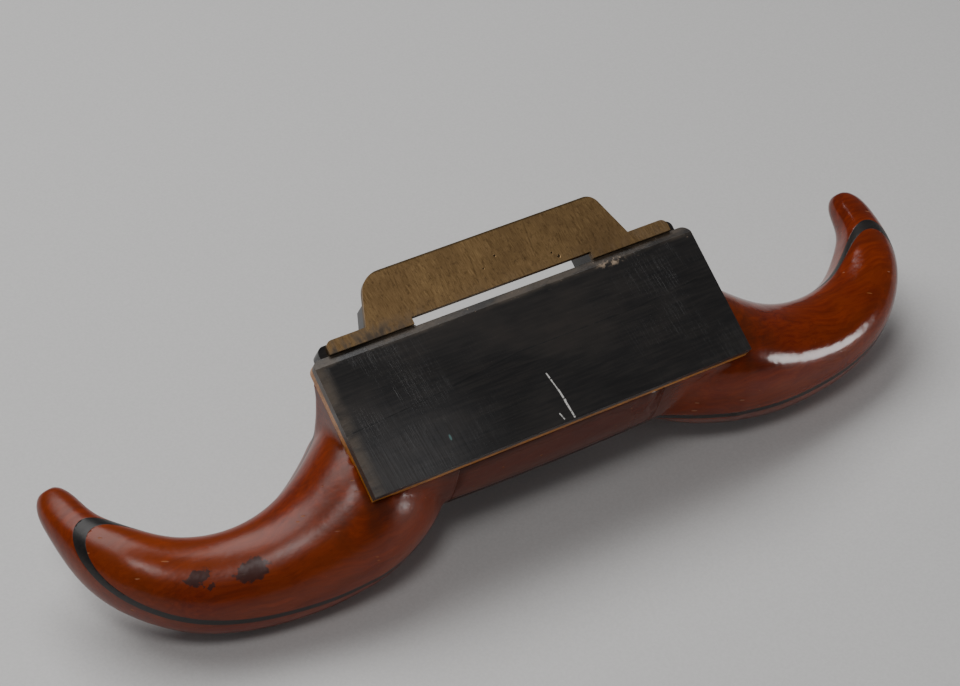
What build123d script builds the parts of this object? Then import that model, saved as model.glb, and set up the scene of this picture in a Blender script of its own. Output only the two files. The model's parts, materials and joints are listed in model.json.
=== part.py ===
from build123d import *

import os
from math import copysign, cos, radians, sin, tan, tau

# A two-handed horned spokeshave, lying sole up on a bench and propped by its blade and wedge.
# Lengths are in mm and angles in degrees.
# Tool axes: x along the tool, y from the user's side to the toe, z out of the sole.
# The sole's surface is z = 0, so every depth into the tool is a negative z.

# ---- how the tool lies on the bench ----
lean = 32.0                # the toe side of the sole is raised by this angle
sole_height = 63.247       # middle of the sole above the bench
sole_setback = -12.981      # sole from the middle of the whole tool, across it
sole_sidestep = -1.663      # sole from the middle of the whole tool, along it

# ---- sole and glued boards ----
sole_length = 150.0
heel_edge = -23.75         # user's side of the sole
toe_edge = 27.0            # mouth side of the sole
sole_corner = 3.0
ebony_thickness = 3.5
boxwood_thickness = 3.4
stripe_top = -29.0         # ebony stripe glued between the two mahogany boards
stripe_thickness = 3.0
back = -54.0               # flat back of the tool, opposite the sole
worn_width = 3.2           # rounded-off mouth edge of the ebony
worn_depth = 1.5

# ---- blade, wedge and throat ----
pitch = 70.0               # blade angle from the sole, a scraping pitch
bed_clearance = 0.1        # where the bed's plane meets the sole's plane, past the mouth edge
blade_width = 70.0
blade_thickness = 1.6
blade_setback = 5.5        # cutting edge drawn back from the sole, along the bed
blade_bevel = 45.0
head_reach = 79.342        # heads of blade and wedge from the sole, along the bed
wedge_toe = 12.0           # points of the wedge from the sole, along the bed
wedge_toe_thickness = 1.2
wedge_angle = 6.0
prong_width = 7.5
prong_root = 38.0          # top of the wedge's arch from the sole, along the bed
arch_rise = 14.0
play = 0.15                # around the blade and the wedge in their grooves
wedge_gap = 0.05           # between the blade and the wedge
lip = 4.3                  # abutment in front of each side of the wedge

# ---- toe ----
plate_thickness = 2.6
plate_strip_half = 68.0
plate_strip_edge = 31.7
strip_corner = 2.5
tongue_base_half = 52.3
tongue_top_half = 46.0
tongue_edge = 49.2
tongue_left_corner = 9.0
tongue_right_corner = 5.0
mouth_half = 35.8
mouth_edge = 29.6          # toe side of the mouth
toe_block_half = 70.8
toe_block_edge = 31.3
toe_block_shoulder = 50.5  # where the block widens under the tongue
toe_block_foot = 46.5
toe_block_reach = 42.0
toe_block_depth = 17.0
toe_block_end_depth = 10.0
toe_block_slope_start = 58.0

# ---- screws ----
plate_screw_places = ((41.5, 37.5), (45.5, 30.8))
block_screw_places = (55.0, 63.0)
block_screw_level = -8.6
screw_radius = 1.3
screw_head_radius = 2.4
screw_head_depth = 1.5
screw_slot = 0.6
plate_screw_length = 15.8
block_screw_length = 22.0

half_length = sole_length / 2
sole_middle = (heel_edge + toe_edge) / 2
sole_width = toe_edge - heel_edge
boxwood_top = -ebony_thickness
board_top = boxwood_top - boxwood_thickness
stripe_bottom = stripe_top - stripe_thickness
slope = radians(pitch)

resting = Plane(
    origin=(sole_sidestep, sole_setback, sole_height),
    x_dir=(1, 0, 0),
    z_dir=(0, -sin(radians(lean)), cos(radians(lean))),
)


def on_tool(plane):
    """Carries a plane given in the tool's own axes to where the tool rests."""
    return Plane(resting.location * plane.location)


def level(z):
    """Plane parallel to the sole."""
    return on_tool(Plane.XY.offset(z))


# Stations along a horn, from the point of the carved lobe on the front of the body to the blunt
# tip. Each is the inner and the outer side of the horn seen from the sole, the levels of its top,
# its widest line and its bottom, and how square the section is (2 is an ellipse). The tool is
# carved by hand: the last pair is how far the right horn strays from a mirror image of the left.
horn_stations = [
    ((42.5, -19.0), (42.5, -27.6), -26.5, -30.0, -34.0, 2.0, (0, 0)),
    ((50.0, -11.0), (50.0, -34.0), -17.0, -31.0, -44.0, 2.0, (0, 4.0)),
    ((58.0, -4.0), (58.0, -38.6), -9.8, -33.0, -50.0, 2.15, (0, 5.5)),
    ((66.0, 4.0), (66.0, -41.6), -5.9, -35.0, -51.6, 2.4, (0, 6.0)),
    ((75.0, 10.0), (75.0, -43.4), -4.9, -36.0, -52.6, 2.7, (0, 5.4)),
    ((83.0, 3.2), (85.5, -44.4), -7.6, -37.5, -53.0, 2.65, (0.5, 4.6)),
    ((92.0, -2.8), (97.0, -44.6), -11.6, -38.5, -53.2, 2.6, (1.0, 3.8)),
    ((102.5, -7.2), (109.0, -43.6), -15.2, -39.0, -53.0, 2.6, (1.0, 3.2)),
    ((115.0, -8.8), (122.0, -41.2), -18.0, -39.0, -52.6, 2.6, (1.5, 2.6)),
    ((128.0, -6.6), (137.5, -35.6), -20.0, -39.0, -51.6, 2.55, (1.5, 1.8)),
    ((141.0, 0.6), (153.8, -23.5), -21.8, -39.0, -50.4, 2.5, (2.0, 1.2)),
    ((152.0, 12.2), (167.4, 2.0), -29.4, -41.2, -50.5, 2.4, (2.5, 0.8)),
    ((155.2, 21.5), (169.2, 18.5), -37.2, -44.5, -52.0, 2.3, (3.2, 0.6)),
    ((157.2, 26.6), (168.2, 25.2), -41.0, -46.5, -52.0, 2.2, (3.5, 0.4)),
    ((159.8, 29.2), (165.8, 28.6), -43.5, -47.0, -50.2, 2.0, (3.5, 0.2)),
]
section_points = 12
root_station = 4            # where the lobe ends and the free part of the horn starts

# Plan sections of the middle block: level, front edge, how far the front bows out, where its
# end faces turn inwards, and the half-length that is left on the toe side.
block_levels = [
    (board_top, -23.8, 0.2, 22.0, 72.5),
    (-16.0, -25.8, 0.8, 15.5, 69.5),
    (stripe_top, -26.9, 2.0, 10.5, 65.3),
    (-40.0, -25.0, 1.6, 7.5, 62.0),
    (back, -15.0, 0.4, 4.0, 58.0),
]


def station_plane(inner, outer, stray, widest):
    """Stands across the horn: x from the outer to the inner side, y out of the sole."""
    across = Vector(*inner) - Vector(*outer)
    centre = (Vector(*inner) + Vector(*outer)) * 0.5 + Vector(*stray)
    origin = (centre.X, centre.Y, widest)
    return on_tool(Plane(origin=origin, x_dir=across, z_dir=(across.Y, -across.X, 0)))


def section_outline(half_width, rise, drop, squareness):
    """Points round a superellipse that rises and drops unequally from its widest line."""
    points = []
    for step in range(section_points):
        turn = tau * (step + 0.5) / section_points
        x = half_width * copysign(abs(cos(turn)) ** (2 / squareness), cos(turn))
        reach = rise if sin(turn) > 0 else -drop
        points.append((x, reach * abs(sin(turn)) ** (2 / squareness)))
    return points


def on_bed(along, off):
    """Cross-section point at a distance from the sole along the bed, and off the bed."""
    return (
        toe_edge + bed_clearance - along * cos(slope) + off * sin(slope),
        -along * sin(slope) - off * cos(slope),
    )


def wedge_front(along):
    """How far off the bed the wedge's front is, at a distance from the sole along the bed."""
    return blade_thickness + wedge_toe_thickness + (along - wedge_toe) * tan(radians(wedge_angle))


cross = on_tool(Plane.YZ)   # cross-section through the middle of the tool
bed_plane = on_tool(Plane(
    origin=(0, toe_edge + bed_clearance, 0),
    x_dir=(-1, 0, 0),
    z_dir=(0, sin(slope), -cos(slope)),
))                          # lies on the bed, y running up along it from the sole

# ---- the space for blade, wedge and shavings ----
groove_half = blade_width / 2 + play
throat_half = groove_half - lip
above_sole = -8.0
past_back = 90.0
past_toe = 12.0

with BuildPart() as throat:
    with BuildSketch(cross):
        with BuildLine():
            Polyline(
                on_bed(above_sole, -play),
                on_bed(past_back, -play),
                on_bed(past_back, wedge_front(past_back) + play),
                on_bed(above_sole, wedge_front(above_sole) + play),
                close=True,
            )
        make_face()
    extrude(amount=groove_half, both=True)
    with BuildSketch(cross):
        with BuildLine():
            Polyline(
                on_bed(above_sole, -play),
                on_bed(past_back, -play),
                (toe_edge + past_toe, back - past_toe),
                (toe_edge + past_toe, past_toe),
                close=True,
            )
        make_face()
    extrude(amount=throat_half, both=True)

# ---- the glued blank: two horns and the middle block, before it is sawn into its boards ----
def horn_stretch(stations, strays):
    """Solid through neighbouring stations, on the right-hand side of the tool."""
    with BuildPart() as stretch:
        for inner, outer, top, widest, bottom, squareness, stray in stations:
            half_width = (Vector(*inner) - Vector(*outer)).length / 2
            outline = section_outline(half_width, top - widest, widest - bottom, squareness)
            shift = stray if strays else (0, 0)
            with BuildSketch(station_plane(inner, outer, shift, widest)):
                with BuildLine():
                    Spline(*outline, periodic=True)
                make_face()
        loft()
    return stretch.part


with BuildPart() as sole_space:
    with BuildSketch(level(board_top)):
        with Locations((0, sole_middle)):
            Rectangle(sole_length, sole_width)
    extrude(amount=-board_top)

to_root = horn_stations[: root_station + 1]
past_root = horn_stations[root_station:]
right_horn = [horn_stretch(to_root, strays=True), horn_stretch(past_root, strays=True)]
middle = on_tool(Plane.YZ)
left_horn = [
    horn_stretch(to_root, strays=False).mirror(middle),
    horn_stretch(past_root, strays=False).mirror(middle),
]

with BuildPart() as blank:
    for height, front, bow, turn_in, toe_half in block_levels:
        with BuildSketch(level(height)):
            with BuildLine():
                ThreePointArc((-half_length, front), (0, front - bow), (half_length, front))
                Polyline(
                    (half_length, front),
                    (half_length, turn_in),
                    (toe_half, toe_edge),
                    (-toe_half, toe_edge),
                    (-half_length, turn_in),
                    (-half_length, front),
                )
            make_face()
    loft()
    add([*right_horn, *left_horn])
    add(sole_space.part, mode=Mode.SUBTRACT)
    add(throat.part, mode=Mode.SUBTRACT)

# ---- screws, which also cut their own holes ----
toe_wall = on_tool(Plane(origin=(0, toe_block_edge, 0), x_dir=(1, 0, 0), z_dir=(0, -1, 0)))
plate_seats = [(side * x, y) for side in (-1, 1) for x, y in plate_screw_places]
block_seats = [(side * x, block_screw_level) for side in (-1, 1) for x in block_screw_places]

with BuildPart() as plate_screws:
    with BuildSketch(level(-toe_block_depth)):
        with Locations(*plate_seats):
            Circle(screw_head_radius)
    extrude(amount=screw_head_depth)
    with BuildSketch(level(-toe_block_depth)):
        with Locations(*plate_seats):
            Circle(screw_radius)
    extrude(amount=plate_screw_length)

with BuildPart() as block_screws:
    with BuildSketch(toe_wall):
        with Locations(*block_seats):
            Circle(screw_head_radius)
    extrude(amount=screw_head_depth)
    with BuildSketch(toe_wall):
        with Locations(*block_seats):
            Circle(screw_radius)
    extrude(amount=block_screw_length)

# ---- ebony sole: the flat wearing face ----
with BuildPart() as ebony_sole:
    with BuildSketch(level(boxwood_top)):
        with Locations((0, sole_middle)):
            Rectangle(sole_length, sole_width)
        fillet(vertices().group_by(Axis.Y)[-1], radius=sole_corner)
    extrude(amount=ebony_thickness)
    with BuildSketch(cross):
        with BuildLine():
            Polyline(
                (toe_edge - worn_width, 0),
                (toe_edge + 1, 0),
                (toe_edge + 1, -worn_depth * (1 + 1 / worn_width)),
                close=True,
            )
        make_face()
    extrude(amount=half_length + 1, both=True, mode=Mode.SUBTRACT)
    add(throat.part, mode=Mode.SUBTRACT)

# ---- boxwood line between the ebony and the mahogany ----
with BuildPart() as boxwood_line:
    with BuildSketch(level(board_top)):
        with Locations((0, sole_middle)):
            Rectangle(sole_length, sole_width)
        fillet(vertices().group_by(Axis.Y)[-1], radius=sole_corner)
    extrude(amount=boxwood_thickness)
    add(throat.part, mode=Mode.SUBTRACT)

# ---- upper mahogany board, next to the sole ----
with BuildPart() as upper_board:
    add(blank.part)
    split(bisect_by=level(stripe_top), keep=Keep.TOP)
    add(block_screws.part, mode=Mode.SUBTRACT)

# ---- ebony stripe ----
with BuildPart() as ebony_stripe:
    add(blank.part)
    split(bisect_by=level(stripe_top), keep=Keep.BOTTOM)
    split(bisect_by=level(stripe_bottom), keep=Keep.TOP)

# ---- lower mahogany board, which also holds both tips ----
with BuildPart() as lower_board:
    add(blank.part)
    split(bisect_by=level(stripe_bottom), keep=Keep.BOTTOM)

# ---- ebony toe blocks, which carry the brass plate on each side of the mouth ----
with BuildPart() as toe_blocks:
    with BuildSketch(level(-plate_thickness)):
        with BuildLine():
            Polyline(
                (mouth_half, toe_edge),
                (toe_block_half, toe_edge),
                (toe_block_half, toe_block_edge),
                (toe_block_shoulder, toe_block_edge),
                (toe_block_foot, toe_block_reach),
                (mouth_half, toe_block_reach),
                close=True,
            )
        make_face()
        fillet(
            vertices().filter_by(lambda corner: corner.X > toe_block_half - 1)
            .filter_by(lambda corner: corner.Y > toe_edge + 1),
            radius=strip_corner,
        )
    extrude(amount=plate_thickness - toe_block_depth)
    with BuildSketch(on_tool(Plane(origin=(0, toe_edge, 0), x_dir=(1, 0, 0), z_dir=(0, -1, 0)))):
        with BuildLine():
            Polyline(
                (toe_block_slope_start, -toe_block_depth),
                (toe_block_half, -toe_block_end_depth),
                (toe_block_half, -toe_block_depth),
                close=True,
            )
        make_face()
    extrude(amount=-toe_block_reach, mode=Mode.SUBTRACT)
    mirror(about=middle)
    add(plate_screws.part, mode=Mode.SUBTRACT)
    add(block_screws.part, mode=Mode.SUBTRACT)

with BuildPart() as toe_block_left:
    add(toe_blocks.part.solids().sort_by(Axis.X)[0])

with BuildPart() as toe_block_right:
    add(toe_blocks.part.solids().sort_by(Axis.X)[-1])

# ---- brass toe plate with its tongue and the notch that forms the mouth ----
with BuildPart() as brass_toe_plate:
    with BuildSketch(level(0)):
        with BuildLine():
            Polyline(
                (-mouth_half, toe_edge),
                (-plate_strip_half, toe_edge),
                (-plate_strip_half, plate_strip_edge),
                (-tongue_base_half, plate_strip_edge),
                (-tongue_top_half, tongue_edge),
                (tongue_top_half, tongue_edge),
                (tongue_base_half, plate_strip_edge),
                (plate_strip_half, plate_strip_edge),
                (plate_strip_half, toe_edge),
                (mouth_half, toe_edge),
                (mouth_half, mouth_edge),
                (-mouth_half, mouth_edge),
                close=True,
            )
        make_face()
        fillet(vertices().group_by(Axis.Y)[-1].sort_by(Axis.X)[0], radius=tongue_left_corner)
        fillet(vertices().group_by(Axis.Y)[-1].sort_by(Axis.X)[-1], radius=tongue_right_corner)
        fillet(
            vertices().filter_by(lambda corner: abs(corner.X) > plate_strip_half - 1)
            .filter_by(lambda corner: corner.Y > toe_edge + 1),
            radius=strip_corner,
        )
    extrude(amount=-plate_thickness)
    add(plate_screws.part, mode=Mode.SUBTRACT)

# ---- slots in the screw heads ----
with BuildPart() as toe_plate_screws:
    add(plate_screws.part)
    with BuildSketch(level(-toe_block_depth)):
        with Locations(*plate_seats):
            Rectangle(2 * screw_head_radius, screw_slot)
    extrude(amount=screw_slot, mode=Mode.SUBTRACT)

with BuildPart() as toe_block_screws:
    add(block_screws.part)
    with BuildSketch(toe_wall):
        with Locations(*block_seats):
            Rectangle(2 * screw_head_radius, screw_slot)
    extrude(amount=screw_slot, mode=Mode.SUBTRACT)

# ---- blade: bevel towards the bed, cutting edge on the side of the shavings ----
with BuildPart() as blade:
    bevel_end = blade_setback + blade_thickness / tan(radians(blade_bevel))
    with BuildSketch(cross):
        with BuildLine():
            Polyline(
                on_bed(blade_setback, blade_thickness),
                on_bed(bevel_end, 0),
                on_bed(head_reach, 0),
                on_bed(head_reach, blade_thickness),
                close=True,
            )
        make_face()
    extrude(amount=blade_width / 2, both=True)
    head_corners = blade.edges().filter_by(Axis(bed_plane.origin, bed_plane.z_dir))
    fillet(head_corners.group_by(Axis(bed_plane.origin, bed_plane.y_dir))[-1], radius=3)

# ---- wedge: two prongs run down the grooves, with an arch between them for the shavings ----
with BuildPart() as wedge:
    with BuildSketch(cross):
        with BuildLine():
            Polyline(
                on_bed(wedge_toe, blade_thickness + wedge_gap),
                on_bed(head_reach, blade_thickness + wedge_gap),
                on_bed(head_reach, wedge_front(head_reach)),
                on_bed(wedge_toe, wedge_front(wedge_toe)),
                close=True,
            )
        make_face()
    extrude(amount=blade_width / 2, both=True)
    with BuildSketch(bed_plane):
        arch_half = blade_width / 2 - prong_width
        with BuildLine():
            Polyline(
                (-arch_half, prong_root - arch_rise),
                (-arch_half, 0),
                (arch_half, 0),
                (arch_half, prong_root - arch_rise),
            )
            ThreePointArc(
                (arch_half, prong_root - arch_rise),
                (0, prong_root),
                (-arch_half, prong_root - arch_rise),
            )
        make_face()
    extrude(amount=past_toe * 2, mode=Mode.SUBTRACT)

pieces = {
    "ebony_sole": ebony_sole,
    "boxwood_line": boxwood_line,
    "upper_board": upper_board,
    "ebony_stripe": ebony_stripe,
    "lower_board": lower_board,
    "toe_block_left": toe_block_left,
    "toe_block_right": toe_block_right,
    "brass_toe_plate": brass_toe_plate,
    "toe_plate_screws": toe_plate_screws,
    "toe_block_screws": toe_block_screws,
    "blade": blade,
    "wedge": wedge,
}
os.makedirs("parts", exist_ok=True)
for name, builder in pieces.items():
    builder.part.label = name
    export_step(builder.part, f"parts/{name}.step")
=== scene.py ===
import bpy
import bmesh
import json
import math
import numpy as np
from mathutils import Matrix, Vector


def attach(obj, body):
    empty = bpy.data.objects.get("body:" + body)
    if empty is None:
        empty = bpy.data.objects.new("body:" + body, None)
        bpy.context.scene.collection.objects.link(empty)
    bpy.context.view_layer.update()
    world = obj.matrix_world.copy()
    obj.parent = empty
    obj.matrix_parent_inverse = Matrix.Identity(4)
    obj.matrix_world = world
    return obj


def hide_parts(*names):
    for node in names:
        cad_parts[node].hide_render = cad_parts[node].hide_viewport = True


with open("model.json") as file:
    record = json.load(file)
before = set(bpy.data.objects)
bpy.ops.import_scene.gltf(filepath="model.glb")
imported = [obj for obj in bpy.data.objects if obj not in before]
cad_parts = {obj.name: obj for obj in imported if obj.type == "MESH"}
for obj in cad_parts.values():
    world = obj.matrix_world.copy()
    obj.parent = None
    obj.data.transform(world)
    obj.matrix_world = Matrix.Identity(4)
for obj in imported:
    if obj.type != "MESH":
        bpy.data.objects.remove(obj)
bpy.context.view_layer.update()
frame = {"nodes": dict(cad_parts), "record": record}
nodes = frame["nodes"]

# ---- where the tool rests, from the record's sole mount ----
sole = frame["record"]["mounts"][0]
SOLE_MIDDLE = Vector(sole["pos_m"])
LEAN = math.atan2(-sole["axis"][1], sole["axis"][2])
MM = 0.001
to_tool = Matrix.Rotation(-LEAN, 4, "X") @ Matrix.Translation(-SOLE_MIDDLE)
from_tool = to_tool.inverted()
STRIPE_TOP = -29.0          # mm from the sole, as for every size in tool axes below
STRIPE_BOTTOM = -32.0

# ---- old damage, in tool axes and mm ----
# a blot has its middle and its reach, the crack its turns on the sole, a pit its x, y and reach
BLOTS = ((-117.5, -27.5, -21.5, 5.4), (-134.8, -22.6, -23.0, 3.6), (-132.6, -27.0, -24.0, 2.2))
CRACK = ((-75, -1), (-43, 1), (-6, 5), (44, 5), (69, 7))
BRASS_PITS = ((2, 40, 0.55), (-4, 37, 0.45), (22, 34, 0.5), (24, 32, 0.8))


# ---- node trees ----
class Shader:
    """A material whose nodes are written as short calls."""

    def __init__(self, name):
        self.material = bpy.data.materials.new(name)
        self.material.use_nodes = True
        self.tree = self.material.node_tree
        self.tree.nodes.clear()
        self.out = self.tree.nodes.new("ShaderNodeOutputMaterial")
        self.bsdf = self.tree.nodes.new("ShaderNodeBsdfPrincipled")
        self.tree.links.new(self.bsdf.outputs[0], self.out.inputs["Surface"])
        coords = self.tree.nodes.new("ShaderNodeTexCoord")
        place = self.tree.nodes.new("ShaderNodeMapping")
        place.vector_type = "TEXTURE"
        place.inputs["Location"].default_value = SOLE_MIDDLE
        place.inputs["Rotation"].default_value = (LEAN, 0, 0)
        place.inputs["Scale"].default_value = (MM, MM, MM)
        self.tree.links.new(coords.outputs["Object"], place.inputs["Vector"])
        self.point = place.outputs[0]      # tool axes, in mm
        split = self.tree.nodes.new("ShaderNodeSeparateXYZ")
        self.tree.links.new(self.point, split.inputs[0])
        self.x, self.y, self.z = split.outputs

    def put(self, socket, value):
        if isinstance(value, bpy.types.NodeSocket):
            self.tree.links.new(value, socket)
        elif isinstance(value, (tuple, list)) and len(value) == 3 and socket.type == "RGBA":
            socket.default_value = (*value, 1)
        else:
            socket.default_value = value

    def math(self, operation, a, b=0.0, c=0.0, clamp=False):
        node = self.tree.nodes.new("ShaderNodeMath")
        node.operation = operation
        node.use_clamp = clamp
        for socket, value in zip(node.inputs, (a, b, c)):
            self.put(socket, value)
        return node.outputs[0]

    def scaled(self, factors, point=None):
        node = self.tree.nodes.new("ShaderNodeVectorMath")
        node.operation = "MULTIPLY"
        self.put(node.inputs[0], point or self.point)
        node.inputs[1].default_value = factors
        return node.outputs[0]

    def turned(self, degrees):
        node = self.tree.nodes.new("ShaderNodeMapping")
        self.put(node.inputs["Vector"], self.point)
        node.inputs["Rotation"].default_value = (0, 0, math.radians(degrees))
        return node.outputs[0]

    def warped(self, point, scale, amount):
        noise = self.tree.nodes.new("ShaderNodeTexNoise")
        self.put(noise.inputs["Vector"], point)
        noise.inputs["Scale"].default_value = scale
        noise.inputs["Detail"].default_value = 2
        shift = self.tree.nodes.new("ShaderNodeVectorMath")
        shift.operation = "MULTIPLY_ADD"
        self.put(shift.inputs[0], noise.outputs["Color"])
        shift.inputs[1].default_value = (amount,) * 3
        self.put(shift.inputs[2], point)
        return shift.outputs[0]

    def noise(self, scale, fineness=(1, 1, 1), detail=4, rough=0.55, point=None, seed=0.0):
        node = self.tree.nodes.new("ShaderNodeTexNoise")
        node.noise_dimensions = "4D"
        self.put(node.inputs["Vector"], self.scaled(fineness, point))
        node.inputs["W"].default_value = seed
        node.inputs["Scale"].default_value = scale
        node.inputs["Detail"].default_value = detail
        node.inputs["Roughness"].default_value = rough
        return node.outputs[0]

    def cells(self, scale, fineness=(1, 1, 1), point=None):
        node = self.tree.nodes.new("ShaderNodeTexVoronoi")
        self.put(node.inputs["Vector"], self.scaled(fineness, point))
        node.inputs["Scale"].default_value = scale
        return node.outputs["Distance"]

    def ramp(self, value, low, high, ends=(0.0, 1.0)):
        node = self.tree.nodes.new("ShaderNodeMapRange")
        node.interpolation_type = "SMOOTHSTEP"
        self.put(node.inputs["Value"], value)
        node.inputs["From Min"].default_value = low
        node.inputs["From Max"].default_value = high
        node.inputs["To Min"].default_value = ends[0]
        node.inputs["To Max"].default_value = ends[1]
        return node.outputs[0]

    def mix(self, factor, a, b):
        node = self.tree.nodes.new("ShaderNodeMix")
        node.data_type = "RGBA"
        self.put(node.inputs[0], factor)
        self.put(node.inputs[6], a)
        self.put(node.inputs[7], b)
        return node.outputs[2]

    def away(self, x, y, z, weights=(1, 1, 1)):
        """Distance in mm from a point in tool axes, each axis counted by its weight."""
        shift = self.tree.nodes.new("ShaderNodeVectorMath")
        shift.operation = "SUBTRACT"
        self.put(shift.inputs[0], self.point)
        shift.inputs[1].default_value = (x, y, z)
        length = self.tree.nodes.new("ShaderNodeVectorMath")
        length.operation = "LENGTH"
        self.put(length.inputs[0], self.scaled(weights, shift.outputs[0]))
        return length.outputs["Value"]

    def line(self, start, end, half_width, waver=0.0):
        """1 along a line on the sole from start to end, fading to 0 at half_width from it."""
        run = Vector(end) - Vector(start)
        along = run.normalized()
        dx = self.math("SUBTRACT", self.x, start[0])
        dy = self.math("SUBTRACT", self.y, start[1])
        t = self.math("ADD", self.math("MULTIPLY", dx, along.x), self.math("MULTIPLY", dy, along.y))
        t = self.math("MINIMUM", self.math("MAXIMUM", t, 0.0), run.length)
        px = self.math("SUBTRACT", dx, self.math("MULTIPLY", t, along.x))
        py = self.math("SUBTRACT", dy, self.math("MULTIPLY", t, along.y))
        gap = self.math("SQRT", self.math("ADD", self.math("POWER", px, 2), self.math("POWER", py, 2)))
        if waver:
            wave = self.math("SUBTRACT", self.noise(0.25, seed=9.0), 0.5)
            gap = self.math("ABSOLUTE", self.math("ADD", gap, self.math("MULTIPLY", wave, waver)))
        return self.ramp(gap, half_width, half_width * 0.3)

    def set(self, **values):
        for name, value in values.items():
            self.put(self.bsdf.inputs[name.replace("_", " ")], value)

    def bump(self, height, strength, distance, below=None):
        node = self.tree.nodes.new("ShaderNodeBump")
        node.inputs["Strength"].default_value = strength
        node.inputs["Distance"].default_value = distance * MM
        self.put(node.inputs["Height"], height)
        if below is not None:
            self.put(node.inputs["Normal"], below)
        return node.outputs[0]


def mahogany(name, seed, underside_shade):
    """Varnished red-brown wood. The third argument is how strongly painted shade darkens the
    underside.
    """
    s = Shader(name)
    flow = s.warped(s.point, 0.035, 14.0)
    grain = s.noise(1.0, (0.05, 0.7, 0.7), 6, 0.6, flow, seed)
    streaks = s.noise(1.0, (0.014, 0.20, 0.25), 3, 0.5, flow, seed + 3)
    pores = s.noise(1.0, (0.20, 3.0, 3.0), 3, 0.6, None, seed + 5)
    cloud = s.noise(0.03, (1, 1, 1), 3, 0.5, None, seed + 7)
    color = s.mix(s.ramp(grain, 0.30, 0.70), (0.120, 0.0100, 0.0006), (0.200, 0.0220, 0.0012))
    color = s.mix(s.ramp(streaks, 0.34, 0.60, (0.40, 0.0)), color, (0.070, 0.0085, 0.0012))
    color = s.mix(s.ramp(cloud, 0.35, 0.7, (0.0, 0.30)), color, (0.31, 0.052, 0.0020))
    color = s.mix(s.ramp(pores, 0.56, 0.72, (0.0, 0.38)), color, (0.040, 0.006, 0.0015))
    # the flat front face between the lobes is duller, and painted darker as shade
    dull_shaded_front = s.math(
        "MULTIPLY",
        s.ramp(s.math("ABSOLUTE", s.x), 52.0, 44.0),
        s.ramp(s.y, -14.0, -20.0),
    )
    color = s.mix(s.math("MULTIPLY", dull_shaded_front, 0.62), color, (0.062, 0.017, 0.010))
    # darker in patches near the level of the sole, fading out from 6.5 to 13 mm below it, where the
    # horns meet the ends of the sole
    darker_near_sole = s.math(
        "MULTIPLY", s.ramp(s.z, -13.0, -6.5), s.ramp(s.noise(0.12, seed=seed + 2), 0.3, 0.62)
    )
    color = s.mix(s.math("MULTIPLY", darker_near_sole, 0.55), color, (0.030, 0.009, 0.004))
    # painted shade: the underside darkens towards the bottom, as strongly as the third argument
    low = s.ramp(s.z, -40.0, -53.0, (0.0, underside_shade))
    color = s.mix(low, color, (0.045, 0.009, 0.003))
    # old nicks through the varnish
    nick_mask = s.ramp(s.noise(0.055, seed=seed + 11), 0.42, 0.56)
    nicks = s.math(
        "MULTIPLY",
        s.ramp(s.cells(0.2, (0.34, 1.8, 1.0), s.turned(25)), 0.110, 0.060),
        nick_mask,
    )
    fine = s.math(
        "MULTIPLY",
        s.ramp(s.cells(0.42, (1.5, 0.42, 1.0), s.turned(-18)), 0.055, 0.02),
        s.ramp(s.noise(0.08, seed=seed + 13), 0.45, 0.6),
    )
    marks = s.math("MAXIMUM", nicks, fine)
    color = s.mix(s.math("MULTIPLY", marks, 0.62), color, (0.36, 0.13, 0.035))
    # dark blots on the left horn, with ragged edges
    edge_noise = s.math("MULTIPLY", s.math("SUBTRACT", s.noise(0.5, seed=2.0), 0.5), 7.0)
    blots = None
    for x, y, z, reach in BLOTS:
        gap = s.math("ADD", s.away(x, y, z, (0.8, 1.25, 0.5)), edge_noise)
        blot = s.ramp(gap, reach, reach * 0.8)
        blots = blot if blots is None else s.math("MAXIMUM", blots, blot)
    color = s.mix(s.math("MULTIPLY", blots, 0.80), color, (0.018, 0.012, 0.012))
    wear = s.noise(0.09, seed=seed + 17)
    # the varnish is duller on the left horn than on the right
    gloss = s.ramp(s.x, -60.0, 70.0, (0.26, 0.11))
    rough = s.math("ADD", s.math("MULTIPLY_ADD", wear, 0.06, gloss), s.math("MULTIPLY", marks, 0.25))
    rough = s.math("ADD", rough, s.math("MULTIPLY", dull_shaded_front, 0.10), clamp=True)
    surface = s.bump(pores, 0.12, 0.05)
    surface = s.bump(s.math("SUBTRACT", 1.0, marks), 0.5, 0.12, surface)
    surface = s.bump(s.noise(0.05, seed=seed + 19), 0.35, 1.2, surface)
    s.set(Base_Color=color, Roughness=rough, Normal=surface, Specular_IOR_Level=0.32)
    return s.material


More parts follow.
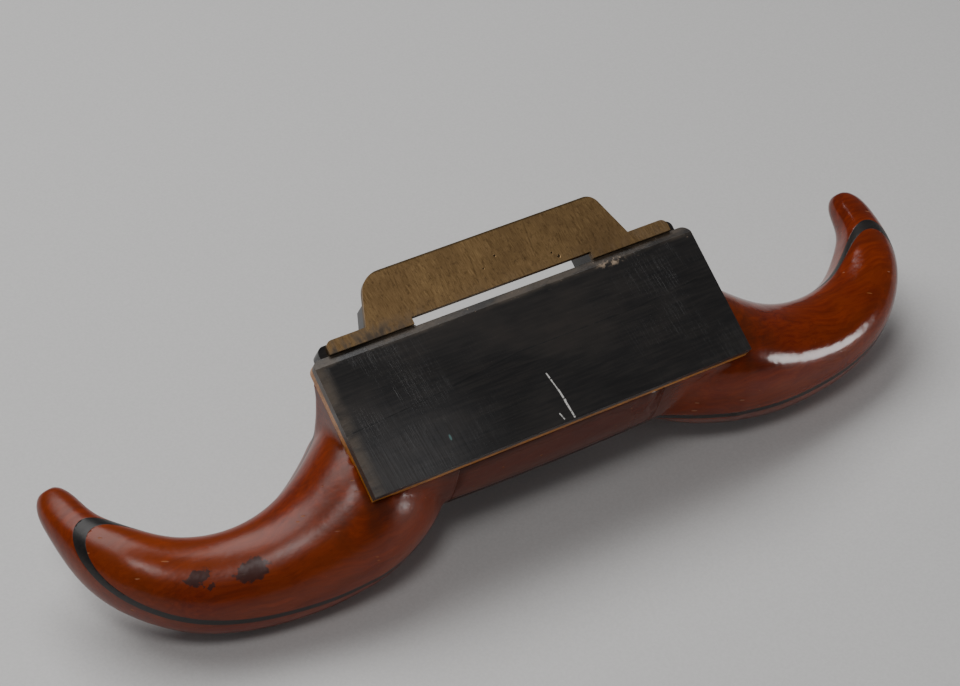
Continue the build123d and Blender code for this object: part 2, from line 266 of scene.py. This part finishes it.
def ebony(name, seed, scuffed):
    """Black wood. scuffed is for the sole's face, with its crack, scratches and worn edge."""
    s = Shader(name)
    fibre = s.noise(1.0, (0.06, 0.9, 0.9), 5, 0.6, None, seed)
    cloud = s.noise(0.035, (0.6, 1, 1), 4, 0.6, None, seed + 1)
    color = s.mix(s.ramp(fibre, 0.35, 0.7), (0.0070, 0.0062, 0.0062), (0.0170, 0.0145, 0.0130))
    color = s.mix(s.ramp(cloud, 0.45, 0.72, (0.0, 0.5)), color, (0.026, 0.018, 0.013))
    pores = s.noise(1.0, (0.25, 4.0, 4.0), 2, 0.6, None, seed + 4)
    rough = s.ramp(cloud, 0.3, 0.7, (0.30, 0.44))
    if scuffed:
        top = s.ramp(s.z, -1.9, -0.9)
        # fine scratches across the sole
        across = s.noise(1.0, (4.6, 0.055, 0.5), 4, 0.75, s.turned(-5), 20.0)
        ends = s.ramp(s.math("ABSOLUTE", s.math("SUBTRACT", s.x, 6.0)), 18.0, 56.0, (0.15, 1.0))
        across_mask = s.math("MULTIPLY", s.ramp(s.noise(0.05, seed=21.0), 0.36, 0.62), ends)
        scratches = s.math("MULTIPLY", s.ramp(across, 0.53, 0.68), across_mask)
        # painted sheen: a grey reflection painted towards the left end and the user's edge
        painted_sheen = s.math(
            "MULTIPLY",
            s.ramp(s.away(-62, -20, 0, (0.9, 1.2, 0.2)), 44.0, 2.0),
            s.ramp(s.noise(1.0, (2.2, 0.05, 0.5), 5, 0.75, s.turned(-5), 22.0), 0.25, 0.72),
        )
        color = s.mix(s.math("MULTIPLY", painted_sheen, 0.40), color, (0.092, 0.092, 0.096))
        color = s.mix(s.math("MULTIPLY", scratches, 0.36), color, (0.105, 0.100, 0.096))
        # wood worn brown along the mouth edge and at the left end
        patch = s.noise(0.16, (0.35, 1, 1), 5, 0.65, None, 23.0)
        edge_wear = s.math("MULTIPLY", s.ramp(s.y, 22.2, 24.6), s.ramp(patch, 0.36, 0.6))
        end_wear = s.math("MULTIPLY", s.ramp(s.x, -69.5, -74.2), s.ramp(patch, 0.3, 0.6))
        worn = s.math("MAXIMUM", edge_wear, end_wear)
        color = s.mix(s.math("MULTIPLY", worn, 0.62), color, (0.098, 0.070, 0.046))
        specks = s.math(
            "MULTIPLY",
            s.ramp(s.noise(0.9, (0.5, 1, 1), 3, 0.6, None, 24.0), 0.66, 0.73),
            s.ramp(s.y, 21.0, 24.0),
        )
        pale = s.ramp(s.away(41, 23.5, -0.8, (0.45, 1.6, 0.5)), 3.4, 0.8)
        pale = s.math("MULTIPLY", pale, s.ramp(s.noise(0.7, seed=25.0), 0.44, 0.58))
        color = s.mix(s.math("MAXIMUM", specks, pale), color, (0.36, 0.27, 0.19))
        # the long hairline crack
        crack = None
        for start, end in zip(CRACK, CRACK[1:]):
            part = s.line(start, end, 0.24, 1.1)
            crack = part if crack is None else s.math("MAXIMUM", crack, part)
        crack = s.math("MULTIPLY", crack, top)
        color = s.mix(s.math("MULTIPLY", crack, 0.85), color, (0.004, 0.004, 0.004))
        # a deep pale scratch in two overlapping strokes, and a short one beside it
        deep_mark = s.math(
            "MAXIMUM",
            s.line((-0.2, -5.4), (1.9, -16.5), 0.30, 0.5),
            s.line((1.2, -12.4), (2.2, -23.0), 0.42, 0.7),
        )
        deep_mark = s.math("MAXIMUM", deep_mark, s.line((-2.3, -20.2), (-1.6, -22.4), 0.34, 0.3))
        grit = s.ramp(s.noise(1.3, seed=26.0), 0.36, 0.5)
        deep_mark = s.math("MULTIPLY", s.math("MULTIPLY", deep_mark, grit), top)
        color = s.mix(deep_mark, color, (0.62, 0.60, 0.57))
        # one small green fleck
        fleck = s.ramp(s.away(-42, -14, 0, (2.2, 0.8, 0.2)), 1.1, 0.6)
        color = s.mix(s.math("MULTIPLY", fleck, 0.7), color, (0.10, 0.20, 0.19))
        rough = s.math("ADD", rough, s.math("MULTIPLY", worn, 0.18))
        rough = s.math("ADD", rough, s.math("MULTIPLY", painted_sheen, 0.06))
        marks = s.math("MAXIMUM", s.math("MULTIPLY", scratches, 0.35), deep_mark)
        normal = s.bump(pores, 0.14, 0.05)
        normal = s.bump(s.math("SUBTRACT", 1.0, marks), 0.6, 0.14, normal)
        normal = s.bump(s.math("SUBTRACT", 1.0, s.math("MULTIPLY", worn, patch)), 0.5, 0.4, normal)
    else:
        normal = s.bump(pores, 0.15, 0.05)
    s.set(Base_Color=color, Roughness=rough, Normal=normal)
    s.set(
        Coat_Weight=0.25 if scuffed else 0.12,
        Coat_Roughness=0.3,
        Specular_IOR_Level=0.5 if scuffed else 0.3,
    )
    return s.material


def boxwood(name, base, dark, seed):
    """Plain close-grained wood between two tones, with grime in patches."""
    s = Shader(name)
    fibre = s.noise(1.0, (0.08, 1.2, 1.2), 5, 0.6, None, seed)
    color = s.mix(s.ramp(fibre, 0.35, 0.7), dark, base)
    darker_patches = s.noise(0.2, (0.4, 1, 1), 4, 0.6, None, seed + 1)
    color = s.mix(s.ramp(darker_patches, 0.46, 0.72, (0.0, 0.6)), color, (0.060, 0.034, 0.018))
    pores = s.noise(1.0, (0.3, 5.0, 5.0), 2, 0.6, None, seed + 2)
    rough = s.ramp(darker_patches, 0.3, 0.7, (0.35, 0.55))
    s.set(Base_Color=color, Roughness=rough, Normal=s.bump(pores, 0.2, 0.05))
    s.set(Coat_Weight=0.3, Coat_Roughness=0.25)
    return s.material


def brass(name):
    s = Shader(name)
    cloud = s.noise(0.05, (1, 1, 1), 5, 0.6, None, 31.0)
    brushed = s.noise(1.0, (5.2, 0.22, 1.0), 4, 0.7, s.turned(-8), 32.0)
    long_marks = s.noise(1.0, (1.1, 0.035, 1.0), 2, 0.6, s.turned(6), 33.0)
    color = s.mix(s.ramp(brushed, 0.30, 0.72), (0.33, 0.195, 0.080), (0.56, 0.360, 0.165))
    color = s.mix(s.ramp(cloud, 0.4, 0.72, (0.0, 0.6)), color, (0.235, 0.140, 0.066))
    speckle = s.noise(0.9, (1, 0.7, 1), 5, 0.75, None, 36.0)
    color = s.mix(s.ramp(speckle, 0.50, 0.66, (0.0, 0.55)), color, (0.150, 0.090, 0.045))
    dark_marks = s.ramp(long_marks, 0.60, 0.74, (0.0, 0.40))
    color = s.mix(dark_marks, color, (0.085, 0.052, 0.026))
    # darker in patches near the mouth, more so beside the left end, and on the two end strips
    near = s.ramp(s.math("ADD", s.y, s.math("MULTIPLY", s.noise(0.16, seed=34.0), 6.0)), 40.0, 31.0)
    left = s.ramp(s.math("ADD", s.x, s.math("MULTIPLY", s.y, 1.1)), 8.0, -16.0)
    darker_patches = s.math("MULTIPLY", near, s.math("ADD", s.math("MULTIPLY", left, 0.5), 0.42))
    ends = s.ramp(s.math("ABSOLUTE", s.x), 50.0, 55.0, (0.0, 0.55))
    darker_patches = s.math("MAXIMUM", darker_patches, ends)
    darker_patches = s.math("MULTIPLY", darker_patches, s.ramp(s.noise(0.35, (1, 0.5, 1), seed=35.0), 0.25, 0.62))
    color = s.mix(darker_patches, color, (0.052, 0.042, 0.034))
    rim = s.math("MAXIMUM", s.ramp(s.y, 48.3, 49.0), s.ramp(s.z, -0.5, -1.2))
    color = s.mix(s.math("MULTIPLY", rim, 0.7), color, (0.060, 0.044, 0.026))
    pits = s.ramp(s.cells(0.11), 0.06, 0.035)
    for x, y, reach in BRASS_PITS:
        pits = s.math("MAXIMUM", pits, s.ramp(s.away(x, y, 0.0, (1, 1, 0.2)), reach, reach * 0.5))
    color = s.mix(s.math("MULTIPLY", pits, 0.85), color, (0.020, 0.016, 0.012))
    rough = s.ramp(brushed, 0.3, 0.7, (0.36, 0.50))
    rough = s.math("ADD", rough, s.math("MULTIPLY", darker_patches, 0.22), clamp=True)
    normal = s.bump(brushed, 0.22, 0.06)
    normal = s.bump(long_marks, 0.25, 0.10, normal)
    normal = s.bump(s.math("SUBTRACT", 1.0, pits), 0.8, 0.25, normal)
    metal = s.ramp(darker_patches, 0.2, 0.8, (1.0, 0.55))
    s.set(Base_Color=color, Roughness=rough, Normal=normal, Metallic=metal)
    return s.material


def steel(name, seed, tone, fineness):
    """Old steel of a grey tone, stained brown in patches."""
    s = Shader(name)
    ground = s.noise(1.0, fineness, 4, 0.65, None, seed)
    stain = s.noise(0.09, (1, 1, 1), 5, 0.65, None, seed + 1)
    light = tuple(tone * k for k in (1.0, 0.98, 0.95))
    dim = tuple(tone * k for k in (0.62, 0.60, 0.57))
    color = s.mix(s.ramp(ground, 0.35, 0.65), dim, light)
    color = s.mix(s.ramp(stain, 0.52, 0.68, (0.0, 0.65)), color, (0.085, 0.055, 0.035))
    rough = s.ramp(stain, 0.4, 0.7, (0.32, 0.6))
    s.set(Base_Color=color, Roughness=rough, Metallic=0.95, Normal=s.bump(ground, 0.2, 0.05))
    return s.material


# ---- the carved boards: exact in the middle, and smoothed where horns and lobes are carved ----
BOARDS = ("upper_board", "ebony_stripe", "lower_board")
CARVED_FROM = 41.0          # mm from the middle of the tool
VOXEL = 1.0                 # mm
SMOOTHING_ROUNDS = 24
SMOOTH = 0.62               # share of the way to the neighbours' mean, then back out again
SWELL = -0.60
SHARP_CORNER = math.radians(38)
# smoothing sets in between the two values of each pair, in mm
ALONG = (CARVED_FROM + 6, CARVED_FROM + 17)
BELOW_SOLE = (8.5, 13.0)
FROM_TOE_FACE = (-25.0, -21.0)      # y with its sign turned, so it grows towards the user
PAST_SLAB_END = (76.0, 80.0)        # beyond this, neither depth nor side holds it back


def tool_mesh(node):
    """A node's mesh in tool axes and mm, with its split corners joined."""
    bm = bmesh.new()
    bm.from_mesh(nodes[node].data)
    bmesh.ops.transform(bm, matrix=Matrix.Scale(1 / MM, 4) @ to_tool, verts=bm.verts)
    bmesh.ops.remove_doubles(bm, verts=bm.verts, dist=0.001)
    return bm


def cut(bm, point, normal):
    """Removes what lies beyond a plane and closes the cut."""
    geometry = bm.verts[:] + bm.edges[:] + bm.faces[:]
    result = bmesh.ops.bisect_plane(
        bm, geom=geometry, plane_co=point, plane_no=normal, clear_outer=True, dist=0.0005
    )
    rim = [e for e in result["geom_cut"] if isinstance(e, bmesh.types.BMEdge) and e.is_boundary]
    bmesh.ops.triangle_fill(bm, edges=rim, use_beauty=True, use_dissolve=False, normal=normal)


def whole_blank():
    """The three boards as one closed skin, without the glue faces between them."""
    blank = bmesh.new()
    for node in BOARDS:
        part = tool_mesh(node)
        holder = bpy.data.meshes.new("part")
        part.to_mesh(holder)
        part.free()
        blank.from_mesh(holder)
        bpy.data.meshes.remove(holder)
    glued = [
        face
        for face in blank.faces
        if any(
            all(abs(v.co.z - glue) < 0.02 for v in face.verts)
            for glue in (STRIPE_TOP, STRIPE_BOTTOM)
        )
    ]
    bmesh.ops.delete(blank, geom=glued, context="FACES")
    bmesh.ops.remove_doubles(blank, verts=blank.verts, dist=0.01)
    return blank


def remeshed(bm):
    """The same closed skin in even cells of one voxel."""
    mesh = bpy.data.meshes.new("blank")
    bm.to_mesh(mesh)
    bm.free()
    source = bpy.data.objects.new("blank", mesh)
    bpy.context.scene.collection.objects.link(source)
    remesh = source.modifiers.new("remesh", "REMESH")
    remesh.mode = "VOXEL"
    remesh.voxel_size = VOXEL
    bpy.context.view_layer.update()
    graph = bpy.context.evaluated_depsgraph_get()
    result = bpy.data.meshes.new_from_object(source.evaluated_get(graph))
    bpy.data.objects.remove(source)
    bpy.data.meshes.remove(mesh)
    return result


def rise(value, low, high):
    """0 below low, 1 above high, and a smooth step between them."""
    t = np.clip((value - low) / (high - low), 0, 1)
    return t * t * (3 - 2 * t)


def smooth_carving(mesh):
    """Evens out the carved surfaces, and leaves the flat faces round the sole as they are."""
    count = len(mesh.vertices)
    place = np.empty(count * 3)
    mesh.vertices.foreach_get("co", place)
    place = place.reshape(-1, 3)
    ends = np.empty(len(mesh.edges) * 2, dtype=np.int64)
    mesh.edges.foreach_get("vertices", ends)
    a, b = ends.reshape(-1, 2).T
    neighbours = np.bincount(a, minlength=count) + np.bincount(b, minlength=count)
    x, y, z = place.T
    past_end = rise(abs(x), *PAST_SLAB_END)
    freedom = rise(abs(x), *ALONG)
    freedom = freedom * np.maximum(rise(-z, *BELOW_SOLE), past_end)
    freedom = freedom * np.maximum(rise(-y, *FROM_TOE_FACE), past_end)
    freedom = freedom[:, None]
    for step in range(SMOOTHING_ROUNDS * 2):
        total = np.zeros((count, 3))
        for axis in range(3):
            total[:, axis] = np.bincount(a, place[b, axis], count)
            total[:, axis] += np.bincount(b, place[a, axis], count)
        pull = total / neighbours[:, None] - place
        place = place + pull * freedom * (SMOOTH if step % 2 == 0 else SWELL)
    mesh.vertices.foreach_set("co", place.ravel())
    mesh.update()


def placed(bm, name, node):
    """A finished piece in the shared frame, standing for its CAD node."""
    bmesh.ops.transform(bm, matrix=from_tool @ Matrix.Scale(MM, 4), verts=bm.verts)
    bmesh.ops.recalc_face_normals(bm, faces=bm.faces)
    mesh = bpy.data.meshes.new(name)
    bm.to_mesh(mesh)
    bm.free()
    for polygon in mesh.polygons:
        polygon.use_smooth = True
    mesh.set_sharp_from_angle(angle=SHARP_CORNER)
    piece = bpy.data.objects.new(name, mesh)
    bpy.context.scene.collection.objects.link(piece)
    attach(piece, "body")
    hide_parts(node)
    return piece


carved = remeshed(whole_blank())
smooth_carving(carved)
layers = {
    "upper_board": ((STRIPE_TOP, -1),),
    "ebony_stripe": ((STRIPE_TOP, 1), (STRIPE_BOTTOM, -1)),
    "lower_board": ((STRIPE_BOTTOM, 1),),
}
board_pieces = {}
for node, glue_planes in layers.items():
    whole = tool_mesh(node)
    cut(whole, (CARVED_FROM, 0, 0), (1, 0, 0))
    cut(whole, (-CARVED_FROM, 0, 0), (-1, 0, 0))
    for side in (-1, 1):
        half = bmesh.new()
        half.from_mesh(carved)
        cut(half, (side * CARVED_FROM, 0, 0), (-side, 0, 0))
        for level, outward in glue_planes:
            cut(half, (0, 0, level), (0, 0, outward))
        holder = bpy.data.meshes.new("half")
        half.to_mesh(holder)
        half.free()
        whole.from_mesh(holder)
        bpy.data.meshes.remove(holder)
    board_pieces[node] = placed(whole, f"carved_{node}", node)

upper_wood = mahogany("mahogany_upper", 1.0, 0.0)
lower_wood = mahogany("mahogany_lower", 40.0, 0.45)
materials = {
    "ebony_sole": ebony("ebony_scuffed", 0.0, True),
    "boxwood_line": boxwood("boxwood_aged", (0.60, 0.245, 0.034), (0.38, 0.130, 0.016), 51.0),
    "upper_board": upper_wood,
    "ebony_stripe": ebony("ebony_plain", 60.0, False),
    "lower_board": lower_wood,
    "toe_block_left": ebony("ebony_block", 70.0, False),
    "toe_block_right": ebony("ebony_block_right", 75.0, False),
    "brass_toe_plate": brass("brass_aged"),
    "toe_plate_screws": steel("screw_steel", 80.0, 0.34, (1.0, 1.0, 1.0)),
    "toe_block_screws": steel("screw_steel_dark", 84.0, 0.28, (1.0, 1.0, 1.0)),
    "blade": steel("blade_steel", 88.0, 0.45, (3.0, 0.2, 0.2)),
    "wedge": boxwood("wedge_wood", (0.40, 0.21, 0.085), (0.24, 0.105, 0.035), 90.0),
}
for name, material in materials.items():
    slots = board_pieces.get(name, nodes[name]).data.materials
    slots.clear()
    slots.append(material)

# ---- floor, light and camera ----
FLOOR_REACH = 4.0           # m from the middle of the tool to each side of the floor
floor_mesh = bpy.data.meshes.new("floor")
sides = ((-1, -1), (1, -1), (1, 1), (-1, 1))
corners = [(x * FLOOR_REACH, y * FLOOR_REACH, 0) for x, y in sides]
floor_mesh.from_pydata(corners, [], [(0, 1, 2, 3)])
floor = bpy.data.objects.new("floor", floor_mesh)
bpy.context.scene.collection.objects.link(floor)
ground = Shader("floor_pale")
speckle = ground.noise(0.9, detail=3)
ground.set(
    Base_Color=ground.mix(ground.ramp(speckle, 0.3, 0.7), (0.60, 0.59, 0.58), (0.64, 0.63, 0.62)),
    Roughness=0.55,
)
floor_mesh.materials.append(ground.material)

world = bpy.data.worlds.new("studio")
world.use_nodes = True
background = world.node_tree.nodes["Background"]
background.inputs["Color"].default_value = (0.93, 0.96, 1.0, 1)
background.inputs["Strength"].default_value = 0.12
bpy.context.scene.world = world


def softbox(name, place, target, width, height, power):
    """A rectangular light, in m and W, that faces its target."""
    light = bpy.data.lights.new(name, "AREA")
    light.shape = "RECTANGLE"
    light.size = width
    light.size_y = height
    light.energy = power
    lamp = bpy.data.objects.new(name, light)
    bpy.context.scene.collection.objects.link(lamp)
    lamp.location = place
    lamp.rotation_mode = "QUATERNION"
    lamp.rotation_quaternion = (Vector(target) - Vector(place)).to_track_quat("-Z", "Y")


softbox("overhead", (-0.25, 0.65, 1.35), (0, 0.05, 0), 1.4, 1.0, 19.0)
softbox("left_high", (-0.46, -0.47, 1.21), (-0.10, -0.03, 0.04), 0.34, 0.30, 4.0)
softbox("strip", (1.065, -0.75, 0.17), (0.105, -0.028, 0.036), 0.22, 0.26, 3.2)

# The camera looks down at 40 degrees, from 30 degrees to the left of the tool's front.
ELEVATION = math.radians(40.0)
HEADING = math.radians(30.3)
DISTANCE = 0.8194
OFFSET_RIGHT = -0.02041
OFFSET_UP = 0.00552
FOCAL_LENGTH = 90.1
forward = Vector((
    math.sin(HEADING) * math.cos(ELEVATION),
    math.cos(HEADING) * math.cos(ELEVATION),
    -math.sin(ELEVATION),
))
right = Vector((math.cos(HEADING), -math.sin(HEADING), 0))
up = right.cross(forward)
lens = bpy.data.cameras.new("camera")
lens.sensor_width = 36.0
lens.lens = FOCAL_LENGTH
lens.clip_start = 0.01
camera = bpy.data.objects.new("camera", lens)
bpy.context.scene.collection.objects.link(camera)
camera.location = SOLE_MIDDLE + OFFSET_RIGHT * right + OFFSET_UP * up - DISTANCE * forward
camera.rotation_mode = "QUATERNION"
camera.rotation_quaternion = Matrix((right, up, -forward)).transposed().to_quaternion()
bpy.context.scene.camera = camera
